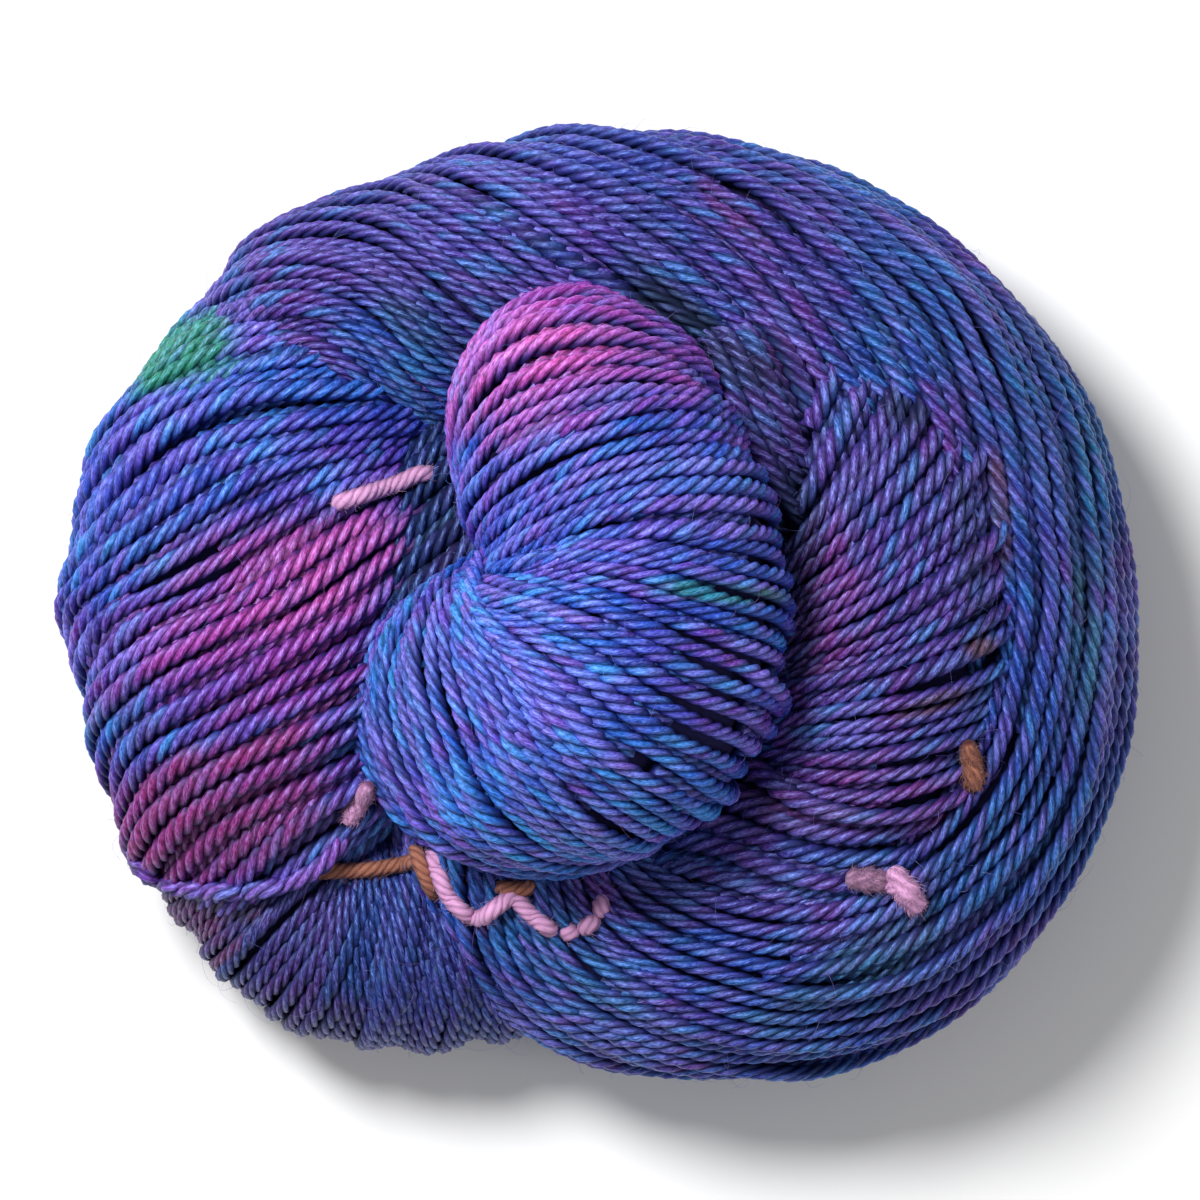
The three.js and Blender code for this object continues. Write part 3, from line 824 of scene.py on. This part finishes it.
# The cotton ties
# middle lines as in the solids; where they show they lie on the strands
PINK_LINE = [
    (-33.5, 12.6, 31), (-31, 13.4, 35), (-28, 14.4, 33.8), (-25, 15.4, 31.9), (-22, 16.6, 30.4),
    (-19.8, 15, 24), (-21, 6, 19), (-24, -6, 19), (-26.5, -17, 23), (-28.6, -23.2, 29.8),
    (-30.6, -26.2, 30.4), (-32.2, -28.4, 26.5), (-30, -31.4, 18.5), (-25.5, -31, 18.5),
    (-21.2, -30.8, 24.5), (-20.2, -33.6, 28.4), (-18.4, -37.4, 28.6), (-15.2, -39.7, 29.6),
    (-12.4, -38, 31.3), (-10.6, -37, 31.8), (-8.4, -39, 32.2), (-5.2, -41.3, 32.5), (-2, -41.1, 32.8),
    (0.4, -39, 32.2), (1, -36.4, 29), (6, -34, 25.5), (16, -32.5, 25.5), (26, -32.5, 29),
    (31.5, -33.6, 34), (35, -34.6, 37), (38.6, -35.9, 37.4), (40.6, -37.4, 37.2)]
BROWN_LINE = [
    (-36.4, -34, 21.5), (-33.6, -33.8, 25), (-29, -33.6, 24.4), (-25, -33, 24.4), (-22.4, -32.6, 25.6),
    (-20.6, -35.4, 26.6), (-18, -36, 23), (-14.6, -35.6, 23.5), (-11.6, -35.8, 30.6), (-8.8, -35.8, 31),
    (-6, -33.8, 26), (-2, -31, 22.5), (8, -27, 22), (20, -24, 22.5), (32, -20, 24), (41, -15.5, 28),
    (45.4, -15.8, 34), (47, -18.4, 38), (47, -22.8, 38)]
KNOT_LINE = [
    (-22.9, -30.8, 23.5), (-22.8, -31.4, 26.2), (-22.3, -32.9, 27.6), (-21.6, -34.6, 27.4),
    (-20.9, -36.0, 26.6), (-20.5, -36.8, 24.0)]
SAGGING_STRAND = [
    (-60, -28.5, 14), (-58.6, -32.5, 18), (-56, -35, 21), (-52, -36.2, 23.9), (-47, -36.4, 25.6),
    (-42, -36, 26.2), (-37, -34.4, 26.1), (-33.5, -31.6, 26.6), (-31.5, -28.2, 26), (-29.5, -24.5, 23)]
SHOWS = 0.5             # a cord no deeper than this under the top of the yarn shows and lies on it
HIDDEN = 2.0            # a cord deeper than this stays where it is
SETTLED = 0.6           # how far a settled cord's middle lies over the top of the yarn, in its radius
SETTLE_ROUNDS = 12      # how often its height is evened out
CORD_STEP = 0.5
TIPS = 0.75             # thickness of a cord's very ends
HAIR_STEPS = np.linspace(0, 1, 4)[:, None]
HAIR_TIP = 0.45
STRAIGHT = 1e6          # pitch of a strand that doesn't twist
CORD_HAIRS = 2.2        # hairs on a step of the cord
CORD_HAIR = 0.025       # their radius
CORD_REACH = (0.4, 1.5)     # their length
CORD_ROOT = 0.9         # where they start, as a share of the cord's radius
CORD_LOWEST = -0.3      # how far down they may point
CORD_CURL = 0.35
LOBE_HAIRS = 260 / 15   # the same for a soft end: hairs on a square mm
LOBE_HAIR = 0.035
LOBE_REACH = (0.4, 1.3)
LOBE_ROOT = 0.92
LOBE_LOWEST = -0.2
LOBE_DROOP = 0.3
LOBE_POINTS, LOBE_SAMPLES, LOBE_STEP = 9, 6, 0.35
LOBE_ROUNDS = 6
LOBE_SETTLED = 0.3
LOBE_PLIES, LOBE_PITCH = 7, 3 * COTTON_PITCH
# thickness of a soft end: places along it, share of its width
LOBE_SHAPE = ((0, 0.12, 0.5, 0.85, 1), (0.45, 0.8, 1.0, 0.85, 0.3))


def evened(values, rounds):
    """The same rows, evened out in place between the first and the last."""
    for _ in range(rounds):
        values[1:-1] = 0.25 * values[:-2] + 0.5 * values[1:-1] + 0.25 * values[2:]


def laid_line(curve, step):
    """A curve in even steps, with its directions along and up."""
    g, even = by_length(curve, step)
    p = at(curve, g)
    t = unit(np.gradient(p, axis=0))
    return dict(p=p, t=t, n=unit(np.cross(np.cross(t, (0, 0, 1.0)), t)), d=even)


def outward(t, lowest):
    """A direction across t by chance, turned over if it points too far down."""
    out = unit(np.cross(t, unit(rng.normal(size=3))))
    return -out if out[2] < lowest else out


def cord_line(rows, radius, settle=True):
    """Middle line of a cord, settled onto the yarn where it shows."""
    fine = through_rows(rows, CORD_SAMPLES)
    if settle:
        top = surface.over(fine[:, 0], fine[:, 1])
        near = np.clip((HIDDEN - (top - fine[:, 2])) / (HIDDEN - SHOWS), 0, 1)
        wanted = top + SETTLED * radius
        fine[:, 2] += near * (wanted - fine[:, 2])
        evened(fine[:, 2], SETTLE_ROUNDS)
    return dict(laid_line(fine, CORD_STEP), key=rng.uniform(0, 1))


def plain_dye(along, tint, spread):
    """One colour with slow changes along the cord."""
    wave = 1 + spread * np.sin(along / 2.9) + 0.6 * spread * np.sin(along / 1.3 + 2)
    return tint[None] * wave[:, None]


def fibre_tube(points, radius):
    """Thin three-sided hair through a few points."""
    p = np.asarray(points, float)
    t = unit(np.gradient(p, axis=0))
    n = unit(np.cross(t, unit(rng.normal(size=3))))
    d = np.r_[0, np.cumsum(np.linalg.norm(np.diff(p, axis=0), axis=1))]
    taper = radius * np.linspace(1, HAIR_TIP, len(p))
    tube = twisted_tube(dict(p=p, n=n, d=d), taper, STRAIGHT, ((1.0, 1.0),), plies=3)
    tube["lit"][:] = 1  # a hair has no shaded side
    return tube


def lobe(part, start, end, width, tint):
    """Fluffy swollen end or loop of a soft cord, with short hairs."""
    start, end = np.array(start, float), np.array(end, float)
    rows = start + np.linspace(0, 1, LOBE_POINTS)[:, None] * (end - start)
    top = surface.over(rows[:, 0], rows[:, 1], 2)
    rows[:, 2] = np.maximum(rows[:, 2], top + LOBE_SETTLED * width / 2)
    evened(rows, LOBE_ROUNDS)
    line = laid_line(through_rows(rows, LOBE_SAMPLES), LOBE_STEP)
    q, t = line["p"], line["t"]
    share = np.linspace(0, 1, len(q))
    radius = width / 2 * np.interp(share, *LOBE_SHAPE)
    radius = radius * (1 + 0.06 * np.sin(share * 17 + start[0]))
    tube = twisted_tube(line, radius, LOBE_PITCH, LOBE_FINE, plies=LOBE_PLIES)
    part.add(tube, plain_dye(tube["along"], tint, 0.1))
    for _ in range(int(LOBE_HAIRS * width * line["d"][-1])):
        i = rng.integers(1, len(q) - 1)
        out = outward(t[i], LOBE_LOWEST)
        root = q[i] + out * radius[i] * LOBE_ROOT
        reach = rng.uniform(*LOBE_REACH)
        way = out * 0.55 + t[i] * rng.uniform(-0.3, 0.9) + rng.normal(size=3) * 0.25
        hair = root + way * reach * HAIR_STEPS - out * LOBE_DROOP * reach * HAIR_STEPS ** 2
        tube = fibre_tube(hair, LOBE_HAIR)
        part.add(tube, plain_dye(tube["along"], tint, 0.2) * rng.uniform(0.85, 1.2))


def cotton_piece(name, rows, width, tint, material, slot, node, extra=(), lobes=()):
    """A whole tie: its cord, further cords, soft ends and hairs."""
    part = Builder(name)
    for k, line_rows in enumerate((rows, *extra)):
        line = cord_line(line_rows, width / 2, settle=k == 0)
        p = line["p"]
        n = len(p)
        end = np.minimum(np.arange(n), np.arange(n)[::-1]) * CORD_STEP
        radius = width / 2 * (TIPS + (1 - TIPS) * np.clip(end, 0, 1))
        tube = twisted_tube(line, radius, COTTON_PITCH, COTTON_FINE, plies=COTTON_PLIES)
        part.add(tube, plain_dye(tube["along"], tint, 0.08))
        # short fibres that stand off the cord
        for _ in range(int(n * CORD_HAIRS)):
            i = rng.integers(1, n - 1)
            t = unit(p[i + 1] - p[i - 1])
            out = outward(t, CORD_LOWEST)
            start = p[i] + out * radius[i] * CORD_ROOT
            way = out * 0.6 + t * rng.uniform(-1, 1)
            reach = rng.uniform(*CORD_REACH)
            curl = rng.normal(size=3) * CORD_CURL * HAIR_STEPS ** 2
            hair = start + way * reach * HAIR_STEPS + curl
            tube = fibre_tube(hair, CORD_HAIR)
            part.add(tube, plain_dye(tube["along"], tint, 0.2) * 1.1)
    for start, end, across, shade in lobes:
        lobe(part, start, end, across, tint * shade)
    obj = part.make(material, slot, COTTON_SHADE)
    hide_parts(node)
    return obj


TIE_PINK = srgb(218, 160, 206)
TIE_BROWN = srgb(158, 102, 84)
# soft ends: from, to, width, how light it is painted, less than one for painted shade
cotton_piece("pink_tie_cord", PINK_LINE, PINK_TIE, TIE_PINK, pink_cotton, "cotton_pink", "tie_pink",
             lobes=[((31.4, -34.4, 30), (36.9, -34.9, 30), 3.3, 0.5),
                    ((37.0, -33.2, 30), (40.6, -38.2, 30), 3.6, 1),
                    ((-28.7, -22.8, 25), (-31.8, -27.8, 25), 3.0, 0.9)])
cotton_piece("brown_tie_cord", BROWN_LINE, BROWN_TIE, TIE_BROWN, brown_cotton, "cotton_brown", "tie_brown",
             extra=[KNOT_LINE], lobes=[((46.7, -17.4, 30), (47.9, -23.4, 30), 2.9, 1)])


SAGGING_KEY, SAGGING_LEVEL = 0.6, 0.9
SAGGING_PLIES = (2.1, 0.045)


def sagging_strand():
    """The one strand that hangs out of the left fold."""
    part = Builder("yarn_sagging")
    tube = twisted_tube(cord_line(SAGGING_STRAND, YARN / 2), YARN / 2, PLY_PITCH)
    ply_key = SAGGING_PLIES[0] + tube["ply"] * SAGGING_PLIES[1]
    part.add(tube, dye_and_shade(tube["verts"], SAGGING_KEY, tube["along"], ply_key, SAGGING_PATCHES, SAGGING_LEVEL))
    return part.make(yarn, "yarn")


sagging_strand()

# Loose fibres on the yarn
FUZZ = 1300
FUZZ_RADIUS = 0.02
FUZZ_LENGTH = (1.0, 4.5)
FUZZ_STEPS = np.linspace(0, 1, 6)[:, None]
FUZZ_TINTS = (srgb(110, 100, 205), srgb(70, 120, 200), srgb(160, 100, 185), srgb(150, 155, 215))


def fuzz_piece():
    """Single fibres that stand off the yarn where it doesn't face down."""
    places = np.vstack(roots)
    places = places[places[:, 5] > -0.1]
    part = Builder("loose_fibres")
    for i in rng.choice(len(places), FUZZ, replace=False):
        start, out, lean = places[i, :3], places[i, 3:6], places[i, 6:9]
        reach = rng.uniform(*FUZZ_LENGTH)
        across = np.cross(out, lean)
        way = lean * rng.normal() + across * rng.normal() * 0.8
        way = way / np.linalg.norm(way)
        arch = out * rng.uniform(0.15, 0.5) * np.sin(FUZZ_STEPS * math.pi * rng.uniform(0.6, 1.0))
        curl = np.cross(way, out) * rng.normal() * 0.4 * FUZZ_STEPS ** 2
        hair = start + (way * FUZZ_STEPS + arch + curl) * reach
        tube = fibre_tube(hair, FUZZ_RADIUS)
        tint = FUZZ_TINTS[rng.integers(len(FUZZ_TINTS))]
        part.add(tube, plain_dye(tube["along"], tint, 0.1))
    return part.make(yarn, "yarn")


fuzz_piece()

# Stage, light and camera
FLOOR_HALF = 1.5
FLOOR_TINT = (0.9, 0.9, 0.9, 1)
LIGHT_AIM = Vector((0, 0, 0.02))
WORLD_LIGHT = 0.3
PHOTO_MIDDLE = 600      # pixels
FRAME_MM = 151.8        # width of the picture at the height of the yarn, CAMERA_SHARP
CAMERA_HEIGHT = 1.6
CAMERA_SHARP = 0.03
SENSOR = 36.0


def stage_floor():
    """Pale floor round the origin."""
    mesh = bpy.data.meshes.new("floor")
    s = FLOOR_HALF
    mesh.from_pydata([(-s, -s, 0), (s, -s, 0), (s, s, 0), (-s, s, 0)], [], [(0, 1, 2, 3)])
    obj = into_scene("floor", mesh)
    mat, nt, shader = node_tree("pale_floor")
    feed(nt, shader, "Base Color", FLOOR_TINT)
    feed(nt, shader, "Roughness", 0.9)
    mesh.materials.append(mat)


def area_light(name, place, size, power):
    """Round white light that faces the skein."""
    light = bpy.data.lights.new(name, "AREA")
    light.shape = "DISK"
    light.size = size
    light.energy = power
    obj = into_scene(name, light)
    obj.location = place
    obj.rotation_euler = (LIGHT_AIM - Vector(place)).to_track_quat("-Z", "Y").to_euler()


stage_floor()
area_light("key", place=(-0.4, 0.4, 0.75), size=0.32, power=10.5)
area_light("fill", place=(0.6, -0.25, 0.7), size=0.4, power=1.2)
world = bpy.data.worlds.new("studio")
bpy.context.scene.world = world
world.use_nodes = True
background = world.node_tree.nodes["Background"]
background.inputs[0].default_value = (1, 1, 1, 1)
background.inputs[1].default_value = WORLD_LIGHT
bpy.context.scene.view_settings.view_transform = "Standard"

camera_data = bpy.data.cameras.new("camera")
camera_data.sensor_fit = "HORIZONTAL"
camera_data.sensor_width = SENSOR
camera_data.lens = SENSOR * (CAMERA_HEIGHT - CAMERA_SHARP) / (FRAME_MM * MM)
camera_data.clip_end = 10
camera = into_scene("camera", camera_data)
camera.location = ((PHOTO_MIDDLE - PX_X0) / PX_PER_MM * MM, (PX_Y0 - PHOTO_MIDDLE) / PX_PER_MM * MM,
                   CAMERA_HEIGHT)
bpy.context.scene.camera = camera
